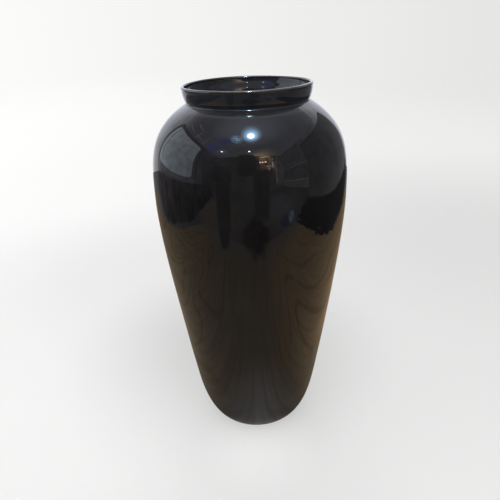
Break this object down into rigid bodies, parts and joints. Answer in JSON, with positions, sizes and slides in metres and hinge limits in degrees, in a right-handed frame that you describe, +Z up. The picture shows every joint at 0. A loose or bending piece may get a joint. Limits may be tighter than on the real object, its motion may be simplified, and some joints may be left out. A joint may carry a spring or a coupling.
{
  "type": "clay jar",
  "caption": "Tall black clay floor jar with a small flat foot, long tapering wall, high rounded shoulder and short flared collar, open at the top.",
  "frame": {"origin": "centre of the foot's flat underside, on the surface that the jar stands on", "axes": "+Z up along the jar's turning axis; the jar is round, so X and Y are free"},
  "size_m": [0.31, 0.31, 0.61],
  "materials": {
    "burnished_black": "polished",
    "neck_black": "polished",
    "worn_rim": "polished",
    "foot_clay": "satin"
  },
  "bodies": {
    "root": {"base_bowl": "foot_clay", "lower_wall": "burnished_black", "middle_wall": "burnished_black", "upper_wall": "burnished_black", "shoulder_dome": "burnished_black", "neck_collar": "neck_black", "rim_coil": "worn_rim"}
  },
  "joints": []
}
